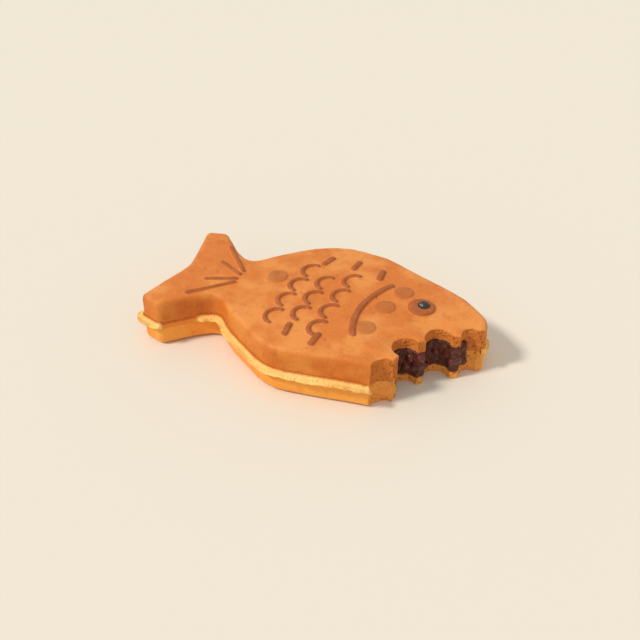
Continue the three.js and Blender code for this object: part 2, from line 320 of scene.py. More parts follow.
# %% [markdown]
# ## One gentle distortion for the whole cake
# A cake swells a little in the iron, wanders off true as it cools, and sinks where teeth have pressed it.
# If each piece had its own distortion, gaps would open between them. So one function moves all of them,
# and its lift fades to nothing at the table, where the cake lies flat.

# %% Crown, wander and the dip at the bite
CROWN = 0.7
CROWN_MIDDLE = np.array([14.0, 0.0])
CROWN_REACH = np.array([62.0, 42.0])
WANDER = 0.45
WANDER_SIZE = 34.0
BITE_DIP = 0.9
BITE_DIP_REACH = 6.0
SAG = 0.25
SAG_SIZE = 19.0


def as_baked(points):
    """Moves drawing points as the real cake is out of true."""
    share = points[:, 2] / CRUST_Z
    off_middle = (points[:, :2] - CROWN_MIDDLE) / CROWN_REACH
    crown = CROWN * np.clip(1 - (off_middle ** 2).sum(axis=1), 0, 1)
    depth, _ = from_bite(points)
    dip = BITE_DIP * (1 - ease(depth, -1, BITE_DIP_REACH))
    flat = points * (1, 1, 0)
    moved = points.copy()
    moved[:, 0] += WANDER * lumps(flat, WANDER_SIZE, 11)
    moved[:, 1] += WANDER * lumps(flat, WANDER_SIZE, 12)
    moved[:, 2] += share * (crown - dip + SAG * lumps(flat, SAG_SIZE, 13))
    return moved


crust_middle = np.array([[*CROWN_MIDDLE, CRUST_Z]])
print("the crust's middle rises", round(float(as_baked(crust_middle)[0][2] - CRUST_Z), 2), "mm")

# %% [markdown]
# ## Finer squares where they are needed
# Crumb has pores under a millimetre wide, finer than the net, and the moulded lines have crisp feet. Making
# the whole net finer would cost half a million faces, so only the squares there are cut in four. Faces
# that nobody sees, and on the upper shell the plain smooth crust too, are then thinned out again with a
# Decimate modifier that follows a vertex group.

# %% Refine the fine places and thin the plain ones
BITE_ZONE = 1.3
LINE_FOOT = 0.08
SHELL_TRIANGLES = 185000
PASTE_TRIANGLES = 60000
THINNING_WEIGHT = 10


def refine(piece):
    """Cuts the squares of the torn face and of all that stands above the crust in four."""
    points = read_points(piece.data)
    depth, _ = from_bite(points)
    near = (np.abs(depth) < BITE_ZONE) | (points[:, 2] > CRUST_Z + LINE_FOOT)
    net = bmesh.new()
    net.from_mesh(piece.data)
    net.verts.ensure_lookup_table()
    edges = [e for e in net.edges if near[e.verts[0].index] and near[e.verts[1].index]]
    bmesh.ops.subdivide_edges(net, edges=edges, cuts=1, use_grid_fill=True)
    bmesh.ops.triangulate(net, faces=[f for f in net.faces if len(f.verts) > 4])
    net.to_mesh(piece.data)
    net.free()


def thin_plain(piece, plain, target):
    """Thins the faces with plain or hidden vertices until the piece has about the target of triangles."""
    triangles = sum(len(p.vertices) - 2 for p in piece.data.polygons)
    if triangles <= target:
        return
    group = piece.vertex_groups.new(name="plain")
    group.add(np.flatnonzero(plain).tolist(), 1.0, "REPLACE")
    thin = piece.modifiers.new("thin", "DECIMATE")
    thin.ratio = target / triangles
    thin.vertex_group = "plain"
    thin.vertex_group_factor = THINNING_WEIGHT
    keep_result(piece)
    piece.vertex_groups.clear()


print("squares within", BITE_ZONE, "mm of the bite are refined")

# %% [markdown]
# ## Where the shells are crust and where they are crumb
# The iron browns the outside. A bite shows what lies behind: an even skin less than a millimetre thick,
# and then porous crumb. The masks here come from shape alone. A vertex on the bite is crumb if it lies
# deeper than the skin, and the filling's own surface tells which faces are hidden and where paste smears.

# %% Find crumb, hidden faces and paste smears
SKIN_THICKNESS = 0.75
CAVITY_REACH = 0.75
STAIN_REACH = 1.6
TORN_REACH = 0.45
JOINT_REACH = 0.4
SKIN_SEARCH = 8
TOO_FAR = 99.0


def surface_tree(node_name):
    mesh = nodes[node_name].data
    mesh.calc_loop_triangles()
    corners = [v.co for v in mesh.vertices]
    return BVHTree.FromPolygons(corners, [tuple(t.vertices) for t in mesh.loop_triangles])


def distances_to(tree, mesh, chosen):
    """Distance in mm from each chosen vertex to a surface; TOO_FAR for the others."""
    found = np.full(len(mesh.vertices), TOO_FAR)
    for index in np.flatnonzero(chosen).tolist():
        found[index] = tree.find_nearest(mesh.vertices[index].co)[3] / MM
    return found


def skin_depth(points, skin, chosen):
    """Distance in mm from each chosen point to the browned skin; TOO_FAR for the others."""
    skin_rows = np.flatnonzero(skin)
    tree = KDTree(len(skin_rows))
    for row in skin_rows.tolist():
        tree.insert(points[row], row)
    tree.balance()
    found = np.full(len(points), TOO_FAR)
    for row in np.flatnonzero(chosen).tolist():
        found[row] = tree.find(points[row])[2]
    return found


def read_shell(piece, joint_faces_up):
    """The points and masks of a batter shell, worked out before it is sculpted."""
    points = read_points(piece.data)
    normals = read_normals(piece.data)
    depth, inward = from_bite(points)
    inside = (points[:, 2] > PASTE_FLOOR_Z - 1) & (points[:, 2] < PASTE_TOP_Z + 1)
    to_paste = distances_to(surface_tree("bean_paste"), piece.data, inside)
    torn = np.abs(depth) < TORN_REACH
    facing = normals[:, 2] if joint_faces_up else -normals[:, 2]
    joint = (np.abs(points[:, 2] - SEAM_Z) < JOINT_REACH) & (facing > 0.5)
    cavity = to_paste < CAVITY_REACH
    hidden = (cavity | joint) & ~torn
    skin = ~torn & ~cavity & ~joint & (depth < SKIN_SEARCH)
    beneath = skin_depth(points, skin, torn)
    crumb = np.where(torn, ease(beneath, SKIN_THICKNESS * 0.5, SKIN_THICKNESS * 1.3), 0)
    smear = np.where(torn, 1 - ease(to_paste + 0.5 * lumps(points, 1.7, 21), 0.2, STAIN_REACH), 0)
    # Upright faces below the crust top are marked for a painted side shade in the material.
    painted_wall_shade = ease(np.hypot(normals[:, 0], normals[:, 1]), 0.3, 0.95) * np.where(points[:, 2] < CRUST_Z, 1, 0)
    return {
        "points": points, "normals": normals, "depth": depth, "inward": inward, "torn": torn,
        "hidden": hidden, "crumb": crumb, "smear": smear, "painted_wall_shade": painted_wall_shade,
    }


print("skin", SKIN_THICKNESS, "mm thick")

# %% [markdown]
# ## Tearing the crumb and pitting the crust
# Teeth don't cut, they tear: the face is ragged at the scale of a few millimetres, and torn bubbles leave
# round pits of two sizes. The flash tears along the same ragged line, so `ragged` serves it as well. The
# outside copies the iron's metal and is smooth, but for slow waves and the odd burst bubble.

# %% Tear and pit
RAGGED = 0.55
RAGGED_SIZE = 4.2
RAGGED_FADE = (0.6, 2.6)
PORE_DEPTH = 0.9
WALL_WAVE = 0.22
BURST_DEPTH = 0.6


def ragged(points, depth):
    """How far the torn face wanders into the cake, in mm, fading out away from it."""
    near = 1 - ease(np.abs(depth), *RAGGED_FADE)
    return near * RAGGED * lumps(points, RAGGED_SIZE, 31)


def torn_crumb(shell):
    """How far the torn face moves into the cake, in mm, and how deep its pores are."""
    points = shell["points"]
    pores = pit_depth(points, 2.3, 41, share=0.35, smallest=0.16, largest=0.36)
    pores = np.maximum(pores, pit_depth(points, 1.15, 45, share=0.75, smallest=0.2, largest=0.46))
    pores += 0.08 * (1 + lumps(points, 0.6, 49))
    torn_lumps = 0.34 * lumps(points, 2.6, 33) + 0.14 * lumps(points, 1.2, 34)
    moved = ragged(points, shell["depth"]) + shell["crumb"] * (torn_lumps + PORE_DEPTH * pores)
    return moved, pores * shell["crumb"]


def crust_relief(shell):
    """How far the outside moves along its normal, in mm, and how deep its burst bubbles are."""
    points = shell["points"]
    waves = WALL_WAVE * lumps(points, 17, 51) + 0.07 * lumps(points, 3.4, 52) + 0.03 * lumps(points, 1.3, 53)
    burst = pit_depth(points, 7.5, 55, share=0.3, smallest=0.06, largest=0.13)
    burst = burst + pit_depth(points, 3.6, 59, share=0.14, smallest=0.1, largest=0.2)
    outside = np.where(shell["torn"] | shell["hidden"], 0, 1)
    return outside * (waves - BURST_DEPTH * burst), outside * burst


print("the torn face is ragged by", RAGGED, "mm")

# %% [markdown]
# ## Toasted spots
# Where the iron is hotter there is a round browner spot. The solid has them as thin raised discs, and here
# they get their colour. Batter spreads unevenly, so the distance to each middle is shaken with noise
# before it is compared with the radius. The moulded lines are measured from the top of a spot, not from
# the crust under it, so that a spot isn't taken for a line.

# %% Toasted spots
TOASTED_SPOTS = ((-26.3, 7.9, 4.8), (33.2, 20.5, 4.5), (29.5, 6.1, 4.6), (27.4, -11.3, 4.3))
SPOT_HEIGHT = 0.45
SPOT_MARGIN = 0.7
# The rim adds a painted shade round the edge of each raised disc.
SPOT_RIM_SHADE = 0.5
SPOT_BLUR = 0.4


def toasted(points, shaken=1.0, margin=0.0):
    """1 inside a toasted spot, 0 outside. Shaken is how uneven its edge is; a margin in mm widens it."""
    flat = points * (1, 1, 0)
    shake = shaken * (0.25 * lumps(flat, 3.0, 61) + 0.12 * lumps(flat, 1.2, 62)) - margin
    found = np.zeros(len(points))
    for x, y, radius in TOASTED_SPOTS:
        distance = np.hypot(points[:, 0] - x, points[:, 1] - y) + shake
        found = np.maximum(found, 1 - ease(distance, radius - SPOT_BLUR, radius + SPOT_BLUR))
    return found


def spot_toast_and_rim_shade(points):
    """How brown the spots are: 1 inside them, with a painted shade added round their rims."""
    whole = toasted(points, margin=0.3)
    return whole + SPOT_RIM_SHADE * (whole - toasted(points, margin=-0.5))


print(len(TOASTED_SPOTS), "toasted spots")

# %% [markdown]
# ## The upper shell
# This shell carries the moulded fish: scales, gill, fins and tail, and the button round the eye. The solid
# already has them as raised bars, and the remesh rounds them as batter does. What stands above the crust
# is marked as relief, because the iron's grooves brown it most. The edge of the button is drawn in a little
# to hug the eye.

# %% Sculpt the upper shell
SQUARE = 0.45
LINE_SWELL = 0.2
EYE_HUG = 0.45
EYE_HUG_REACH = (3.2, 4.6)
# Burst pits join the pore mask, whose painted shade shows only on torn crumb.
BURST_SHADE = 0.6


def mark_shell(piece, shell, relief, spots, pores):
    """Stores the masks that a shell's material reads."""
    mark(piece, "relief", relief)
    mark(piece, "spots", spots)
    mark(piece, "pores", pores)
    for name in ("crumb", "smear", "painted_wall_shade"):
        mark(piece, name, shell[name])


upper_crust = remeshed_copy("upper_crust", "upper_batter", SQUARE, 1)
refine(upper_crust)
shell = read_shell(upper_crust, joint_faces_up=False)
points = shell["points"]
above = points[:, 2] - CRUST_Z - SPOT_HEIGHT * toasted(points, 0, SPOT_MARGIN)
relief = ease(above, LINE_FOOT, 0.4)
top = ease(points[:, 2], CRUST_Z - 0.5, CRUST_Z - 0.1) * (1 - shell["torn"])
spots = spot_toast_and_rim_shade(points) * top
tear, pores = torn_crumb(shell)
swell, burst = crust_relief(shell)
swell += LINE_SWELL * ease(above, LINE_FOOT, 0.3)
worked = points + shell["inward"] * tear[:, None] + shell["normals"] * swell[:, None]
to_eye = np.array(EYE_DRAWN_AT) - points[:, :2]
eye_distance = np.linalg.norm(to_eye, axis=1)
hug = EYE_HUG * (1 - ease(eye_distance, *EYE_HUG_REACH)) * ease(points[:, 2], CRUST_Z, CRUST_Z + 0.8)
worked[:, :2] += to_eye / np.maximum(eye_distance, 0.1)[:, None] * hug[:, None]
write_points(upper_crust.data, as_baked(worked))
mark_shell(upper_crust, shell, relief, spots, pores + BURST_SHADE * burst)
fine = (np.abs(shell["depth"]) < BITE_ZONE) | (above > LINE_FOOT) | (spots > 0)
thin_plain(upper_crust, shell["hidden"] | ~fine, SHELL_TRIANGLES)
upper_crust.data.shade_smooth()
print("upper shell:", len(upper_crust.data.polygons), "faces")

# %% [markdown]
# ## The lower shell
# The iron has the same fish on both plates, so the underside has the same lines. A ray sent down from above
# each vertex finds how high the upper relief is there. The ground between the lines is lifted off the
# table by half a millimetre, and the lines stay down, which leaves them raised as seen from below. No bean
# is pressed in on that side, so a small raised dot is its pupil.

# %% Sculpt the lower shell
UNDER_RELIEF = 0.5
SPOT_SHARE = 0.4
PUPIL_RADIUS = 1.7
EDGE_ROUNDING = 2.4
LINE_TOP = 0.8
ABOVE_ALL = 1.0


def relief_overhead(mesh, chosen):
    """How high the moulded lines of the upper shell stand over each chosen vertex, from 0 to 1."""
    tree = surface_tree("upper_batter")
    found = np.zeros(len(mesh.vertices))
    down = Vector((0, 0, -1))
    for index in np.flatnonzero(chosen).tolist():
        below = mesh.vertices[index].co
        hit = tree.ray_cast(Vector((below.x, below.y, ABOVE_ALL)), down)[0]
        if hit is not None:
            found[index] = hit.z / MM - CRUST_Z
    return ease(found, SPOT_HEIGHT, LINE_TOP)


lower_crust = remeshed_copy("lower_crust", "lower_batter", SQUARE, 3)
refine(lower_crust)
shell = read_shell(lower_crust, joint_faces_up=True)
points = shell["points"]
under = (points[:, 2] < EDGE_ROUNDING) & ~shell["torn"] & ~shell["hidden"]
to_eye = np.linalg.norm(points[:, :2] - np.array(EYE_DRAWN_AT), axis=1)
pupil = under * (1 - ease(to_eye, PUPIL_RADIUS - 0.3, PUPIL_RADIUS + 0.3))
relief = np.maximum(relief_overhead(lower_crust.data, under), pupil)
ground = np.where(under, 1 - np.clip(points[:, 2], 0, None) / EDGE_ROUNDING, 0)
spots = spot_toast_and_rim_shade(points) * under
tear, pores = torn_crumb(shell)
swell, burst = crust_relief(shell)
swell *= ease(points[:, 2], 0, EDGE_ROUNDING)
worked = points + shell["inward"] * tear[:, None] + shell["normals"] * swell[:, None]
worked[:, 2] += UNDER_RELIEF * ground * (1 - np.maximum(relief, SPOT_SHARE * toasted(points)))
worked = as_baked(worked)
worked[:, 2] = np.maximum(worked[:, 2], 0)
write_points(lower_crust.data, worked)
mark_shell(lower_crust, shell, relief, spots, pores + BURST_SHADE * burst)
thin_plain(lower_crust, shell["hidden"], SHELL_TRIANGLES)
lower_crust.data.shade_smooth()
print("lower shell:", len(lower_crust.data.polygons), "faces")

# %% [markdown]
# ## The crisp flash
# Batter that squeezes out of the joint spreads as far as it likes and sets at once, so its rim wanders,
# has small notches and bubbles, and thins to a keen edge. It starts from the solid's ring. Its vertices
# move along their own normals, most at the rim and least where the shells grip it, and at the snout it is
# worn narrow. Under the lower tail lobe it has broken away flush with the side, and that scar is marked so
# that it can be coloured as crust.

# %% Sculpt the flash
flash_low, flash_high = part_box("seam_flash")
FLASH_MIDDLE_Z = (flash_low.z + flash_high.z) / 2 / MM
FLASH_HALF = (flash_high.z - flash_low.z) / 2 / MM
FLASH_SQUARE = 0.38
FLASH_ROOT = (0.6, 2.4)
FLASH_RIM = (1.7, 2.9)
FLASH_TAPER = 0.42
FLASH_KEEN = 0.7
SCAR_REACH = (0.5, 1.2)
SCAR_SPREAD = 0.35
SNOUT_END = (77, 12)
SNOUT_REACH = (6, 18)
SNOUT_WORN = 0.55


def near_to(points, place, reach):
    """1 round a place in plan, fading to 0, with a wandering edge."""
    distance = np.hypot(*(points[:, :2] - place).T) + 0.8 * lumps(points * (1, 1, 0), 3, 87)
    return 1 - ease(distance, *reach)


def out_from_side(mesh):
    """How far in mm each vertex stands out from the side of the lower shell, and which way is out."""
    tree = surface_tree("lower_batter")
    found = np.zeros(len(mesh.vertices))
    away = np.zeros((len(mesh.vertices), 3))
    for index, vertex in enumerate(mesh.vertices):
        level = Vector((vertex.co.x, vertex.co.y, flash_low.z - MM))
        nearest, outward, _, gap = tree.find_nearest(level)
        found[index] = math.copysign(gap / MM, (level - nearest).dot(outward))
        away[index] = outward
    return found, away * (1, 1, 0)


flash = remeshed_copy("flash", "seam_flash", FLASH_SQUARE, 1)
points = read_points(flash.data)
normals = read_normals(flash.data)
out, away = out_from_side(flash.data)
proud = ease(out, *FLASH_ROOT)
sideways = normals * (1, 1, 0)
flat = points * (1, 1, 0)
wander = 0.45 * lumps(flat, 8, 71) + 0.4 * lumps(flat, 3.1, 72) + 0.25 * lumps(points, 1.4, 73)
notch = pit_depth(flat, 9, 74, share=0.5, smallest=0.08, largest=0.17)
blister = pit_depth(points, 2.6, 78, share=0.4, smallest=0.14, largest=0.3)
off_middle = (points[:, 2] - FLASH_MIDDLE_Z) / FLASH_HALF
keen = FLASH_KEEN * (1 - np.clip(off_middle ** 2, 0, 1))
depth, inward = from_bite(points)
tear = ragged(points, depth)
worked = points + sideways * (proud * (wander + keen - 0.9 * notch))[:, None] + inward * tear[:, None]
worked += normals * (0.12 * lumps(points, 2.6, 82) + 0.07 * lumps(points, 1.0, 83) - 0.5 * blister)[:, None]
worked[:, 2] += proud * (0.35 * lumps(flat, 12, 84) + 0.2 * lumps(flat, 4, 88))
worked[:, 2] -= FLASH_TAPER * proud * FLASH_HALF * off_middle
worn = SNOUT_WORN * near_to(points, SNOUT_END, SNOUT_REACH)
worked -= away * (np.maximum(out, 0) * worn)[:, None]
edge = ease(out, *FLASH_RIM)
broken = (1 - ease(out, *SCAR_REACH)) * ease(depth, 1, 2)
worked[:, 2] += broken * SCAR_SPREAD * FLASH_HALF * off_middle
write_points(flash.data, as_baked(worked))
mark(flash, "broken", broken)
mark(flash, "torn", 1 - ease(depth, 0.3, 0.9))
mark(flash, "above", ease(points[:, 2], SEAM_Z - 0.25, SEAM_Z + 0.25))
mark(flash, "rim", edge * ease(lumps(flat, 9, 85) + 0.5 * lumps(flat, 2, 86), -0.35, 0.5))
mark(flash, "pores", blister + 0.5 * notch)
flash.data.shade_smooth()
print("flash:", len(flash.data.polygons), "faces")

# %% [markdown]
# ## The bean filling
# Sweet bean paste is mashed beans with some left whole. Whole beans are added as small ellipsoids just
# behind the torn face, wherever that point lies inside the filling, and the remesh melts them into the
# paste. A bean pushes out of the paste where the bite tore past it, and its skin stays smooth.

# %% Choose places for whole beans
BEAN_HALF_SIZE = np.array([3.5, 2.3, 2.1])
BEAN_SPACING = 4.6
BEAN_DEPTHS = (0.9, 2.0)
BEAN_COVER = 1.5
BEAN_TRIES = 900
BEAN_SEED = 7

luck = np.random.default_rng(BEAN_SEED)
paste_tree = surface_tree("bean_paste")
tries_low = np.array([36.0, -34.0, PASTE_FLOOR_Z + BEAN_COVER])
tries_high = np.array([72.0, 12.0, PASTE_TOP_Z - BEAN_COVER])
tries = luck.uniform(tries_low, tries_high, (BEAN_TRIES, 3))
tries_depth, _ = from_bite(tries)
beans = []
for place, depth in zip(tries, tries_depth):
    if not BEAN_DEPTHS[0] < depth < BEAN_DEPTHS[1]:
        continue
    middle = Vector(place + (*drawing_middle, 0)) * MM
    nearest, outward, _, _ = paste_tree.find_nearest(middle)
    inside = (middle - nearest).dot(outward) < 0
    crowded = any(np.linalg.norm(place - other) < BEAN_SPACING for other, _ in beans)
    if inside and not crowded:
        turn = Vector(luck.normal(size=3)).to_track_quat("Z", "Y").to_matrix()
        beans.append((place, np.array(turn)))
print(len(beans), "whole beans at the bite")

# %% Melt the beans into the paste and sculpt it
PASTE_SQUARE = 0.4
PASTE_SWELL = 0.32
PASTE_SHOWN = (2.5, 4)
PASTE_HIDDEN = 3


def bean_mesh():
    """All the beans as one loose mesh, ready to be remeshed with the paste."""
    net = bmesh.new()
    for place, turn in beans:
        stretch = Matrix(turn @ np.diag(BEAN_HALF_SIZE * MM)).to_4x4()
        stretch.translation = Vector(place + (*drawing_middle, 0)) * MM
        bmesh.ops.create_uvsphere(net, u_segments=24, v_segments=16, radius=1, matrix=stretch)
    mesh = bpy.data.meshes.new("beans")
    net.to_mesh(mesh)
    net.free()
    return mesh


def on_bean(points):
    """1 where a point lies on or in a bean, 0 away from them."""
    found = np.zeros(len(points))
    for place, turn in beans:
        size = np.linalg.norm((points - place) @ turn / BEAN_HALF_SIZE, axis=1)
        found = np.maximum(found, 1 - ease(size, 1.02, 1.14))
    return found


bean_filling = remeshed_copy("bean_filling", "bean_paste", PASTE_SQUARE, 2, bean_mesh())
points = read_points(bean_filling.data)
normals = read_normals(bean_filling.data)
depth, _ = from_bite(points)
skin = on_bean(points)
shown = 1 - ease(np.abs(depth), *PASTE_SHOWN)
mash = 0.42 * lumps(points, 3.6, 91) + 0.36 * lumps(points, 1.7, 92) + 0.14 * lumps(points, 0.9, 93)
mash -= 0.6 * pit_depth(points, 2.2, 94, share=0.5)
push = PASTE_SWELL + shown * (1 - skin) * mash + shown * skin * 0.05 * lumps(points, 1.2, 97)
write_points(bean_filling.data, as_baked(points + normals * push[:, None]))
mark(bean_filling, "bean_skin", skin)
thin_plain(bean_filling, depth > PASTE_HIDDEN, PASTE_TRIANGLES)
bean_filling.data.shade_smooth()
print("filling:", len(bean_filling.data.polygons), "faces")

# %% [markdown]
# ## The eye
# The eye is one dark bean pressed into its button. It is a plain dome on the solid, so a fine remesh and a
# little unevenness are enough, and a soft crease across it keeps it from looking like a glass bead.

# %% Sculpt the eye
EYE_SQUARE = 0.16
EYE_SWELL = 0.2
CREASE_DEPTH = 0.16
CREASE_WIDTH = 0.35
CREASE_SLANT = 0.6

eye = remeshed_copy("eye", "eye_bead", EYE_SQUARE, 6)
points = read_points(eye.data)
normals = read_normals(eye.data)
off_crease = points[:, 0] - EYE_DRAWN_AT.x - CREASE_SLANT * (points[:, 1] - EYE_DRAWN_AT.y)
crease = CREASE_DEPTH * np.exp(-(off_crease / CREASE_WIDTH) ** 2)
dents = 0.10 * lumps(points, 2.4, 101) + 0.03 * lumps(points, 0.8, 102)
write_points(eye.data, as_baked(points + normals * (EYE_SWELL + dents - crease)[:, None]))
eye.data.shade_smooth()
print("eye:", len(eye.data.polygons), "faces")

# %% [markdown]
# ## Building materials from nodes
# A material is a small graph. `put` adds one node to it and fills its inputs, either with a value or with
# another node's output, which keeps each material short enough to read. `between` is a smooth threshold,
# and `mixed` mixes two colours by a mask.

# %% Node helpers


def put(tree, kind, inputs=(), **settings):
    """Adds a node. Inputs are (name or number, value or output) pairs."""
    node = tree.nodes.new(kind)
    for name, value in settings.items():
        setattr(node, name, value)
    for name, value in inputs:
        if isinstance(value, bpy.types.NodeSocket):
            tree.links.new(value, node.inputs[name])
        else:
            node.inputs[name].default_value = value
    return node


def between(tree, value, start, end, low=0.0, high=1.0):
    """Low below start, high above end."""
    inputs = (("Value", value), ("From Min", start), ("From Max", end), ("To Min", low), ("To Max", high))
    return put(tree, "ShaderNodeMapRange", inputs, interpolation_type="SMOOTHSTEP").outputs["Result"]


def mixed(tree, mask, first, second, blend="MIX"):
    """The first colour where the mask is 0, blended with the second where it is 1."""
    inputs = ((0, mask), (6, first), (7, second))
    return put(tree, "ShaderNodeMix", inputs, data_type="RGBA", blend_type=blend).outputs[2]


def sums(tree, operation, first, second):
    return put(tree, "ShaderNodeMath", ((0, first), (1, second)), operation=operation).outputs[0]


def mask_of(tree, name):
    return put(tree, "ShaderNodeAttribute", attribute_name=name).outputs["Fac"]


def new_group(name, inputs, outputs):
    """A node group with (kind, name) sockets; gives its tree, its input node and its output node."""
    tree = bpy.data.node_groups.new(name, "ShaderNodeTree")
    for kind, socket in inputs:
        tree.interface.new_socket(name=socket, in_out="INPUT", socket_type="NodeSocket" + kind)
    for kind, socket in outputs:
        tree.interface.new_socket(name=socket, in_out="OUTPUT", socket_type="NodeSocket" + kind)
    return tree, tree.nodes.new("NodeGroupInput").outputs, tree.nodes.new("NodeGroupOutput").inputs


def noise(tree, place, size, detail):
    """Noise from 0 to 1 with lumps of the given size in mm."""
    inputs = (("Vector", place), ("Scale", 1 / (size * MM)), ("Detail", detail))
    return put(tree, "ShaderNodeTexNoise", inputs).outputs["Fac"]


def new_material(name, roughness, **values):
    """A material with one Principled shader; values are its constants, with _ for a space."""
    paint = bpy.data.materials.new(name)
    paint.use_nodes = True
    shader = paint.node_tree.nodes["Principled BSDF"]
    shader.inputs["Roughness"].default_value = roughness
    for socket, value in values.items():
        shader.inputs[socket.replace("_", " ")].default_value = value
    return paint, paint.node_tree, shader


def bumped(tree, shader, height, distance):
    """Bumps the shader by a height of up to the given distance in mm."""
    inputs = (("Height", height), ("Distance", distance * MM))
    tree.links.new(put(tree, "ShaderNodeBump", inputs).outputs["Normal"], shader.inputs["Normal"])


print("helpers ready")

# %% [markdown]
# ## Effects that the baked pieces share
# All the batter browns in the same way, so this is one group with its own colours on each piece. Slow
# noise drifts between golden and pale, middling noise breaks up the browning, and fine noise freckles it.
# Small pale dots are left where steam kept the batter off the iron.

# %% Group: browning
browning, given, gives = new_group(
    "browning",
    (("Color", "Golden"), ("Color", "Pale"), ("Color", "Brown"), ("Float", "Toast"), ("Float", "Freckles")),
    (("Color", "Color"), ("Float", "Patch")),
)
place = put(browning, "ShaderNodeTexCoord").outputs["Object"]
drift = between(browning, noise(browning, place, 16, 4), 0.38, 0.62)
cloud = noise(browning, place, 4.5, 4)
grain = noise(browning, place, 0.9, 3)
ground = mixed(browning, drift, given["Golden"], given["Pale"])
ground = mixed(browning, between(browning, cloud, 0.52, 0.8, 0, 0.35), ground, given["Brown"])
steam = put(browning, "ShaderNodeTexVoronoi", (("Vector", place), ("Scale", 1 / (2.6 * MM))))
dot = between(browning, steam.outputs["Distance"], 0.08, 0.24, 0.7, 0)
ground = mixed(browning, dot, ground, given["Pale"])
freckle = sums(browning, "MULTIPLY", between(browning, grain, 0.52, 0.78), given["Freckles"])
ground = mixed(browning, freckle, ground, given["Brown"])
toast = sums(browning, "MULTIPLY", given["Toast"], between(browning, cloud, 0.2, 0.6, 0.7, 1.0))
browning.links.new(mixed(browning, toast, ground, given["Brown"]), gives["Color"])
browning.links.new(cloud, gives["Patch"])
print("group", browning.name)

# %% [markdown]
# The iron leaves a fine grain on the crust, with pinholes where steam came out. A Voronoi texture gives
# the distance to scattered points, and a threshold turns that into holes. It goes out as a height, and
# each material decides how deep it is. The holes also go out as a mask for a painted shade in them.

# %% Group: crust grain
crust_grain, given, gives = new_group(
    "crust_grain",
    (("Float", "Pinholes"),),
    (("Float", "Height"), ("Float", "Holes")),
)
place = put(crust_grain, "ShaderNodeTexCoord").outputs["Object"]
scattered = put(crust_grain, "ShaderNodeTexVoronoi", (("Vector", place), ("Scale", 1 / (1.5 * MM))))
hole = between(crust_grain, scattered.outputs["Distance"], 0.10, 0.26, 1, 0)
patchy = between(crust_grain, noise(crust_grain, place, 6, 1), 0.42, 0.6)
hole = sums(crust_grain, "MULTIPLY", sums(crust_grain, "MULTIPLY", hole, patchy), given["Pinholes"])
fine = noise(crust_grain, place, 0.55, 4)
coarse = noise(crust_grain, place, 2.2, 2)
height = sums(crust_grain, "ADD", sums(crust_grain, "MULTIPLY", fine, 0.35), coarse)
crust_grain.links.new(sums(crust_grain, "SUBTRACT", height, hole), gives["Height"])
crust_grain.links.new(hole, gives["Holes"])
print("group", crust_grain.name)

# %% [markdown]
# Torn crumb is paler than the crust, has darker specks and a painted shade down in its pores, and is stained
# where paste touched it. The same group serves both shells.

# %% Group: crumb
crumb_look, given, gives = new_group(
    "crumb",
    (("Color", "Crust"), ("Color", "Crumb"), ("Color", "Deep"), ("Color", "Paste"),
     ("Float", "Torn"), ("Float", "Pores"), ("Float", "Smear")),
    (("Color", "Color"), ("Float", "Height")),
)
place = put(crumb_look, "ShaderNodeTexCoord").outputs["Object"]
speck = noise(crumb_look, place, 0.7, 4)
painted_pore_shade = between(crumb_look, given["Pores"], 0.1, 0.7)
in_speck = between(crumb_look, speck, 0.5, 0.75, 0, 0.6)
# The pores take a painted shade, and the specks are a darker tone.
deep = sums(crumb_look, "MAXIMUM", painted_pore_shade, in_speck)
inside = mixed(crumb_look, deep, given["Crumb"], given["Deep"])
inside = mixed(crumb_look, sums(crumb_look, "MULTIPLY", given["Smear"], 0.85), inside, given["Paste"])
shown = mixed(crumb_look, given["Torn"], given["Crust"], inside)
crumb_look.links.new(shown, gives["Color"])
crumb_look.links.new(sums(crumb_look, "MULTIPLY", speck, given["Torn"]), gives["Height"])
print("group", crumb_look.name)

# %% [markdown]
# ## The finishes of the two shells
# The upper shell lay in the hotter plate and is a deeper gold. Both use the same function with their own
# colours, and their upright sides are darkened by a painted shade. Crust has a faint, patchy sheen of oil
# from the iron, and torn crumb has hardly any. A little light passes into the batter and out again, which
# softens the edges.

# %% Crust materials
PASTE_STAIN = (0.14, 0.046, 0.026, 1)
SPOT_BROWN = 0.6
PINHOLE_SHADE = 0.35
CRUMB_ROUGHNESS = 0.85


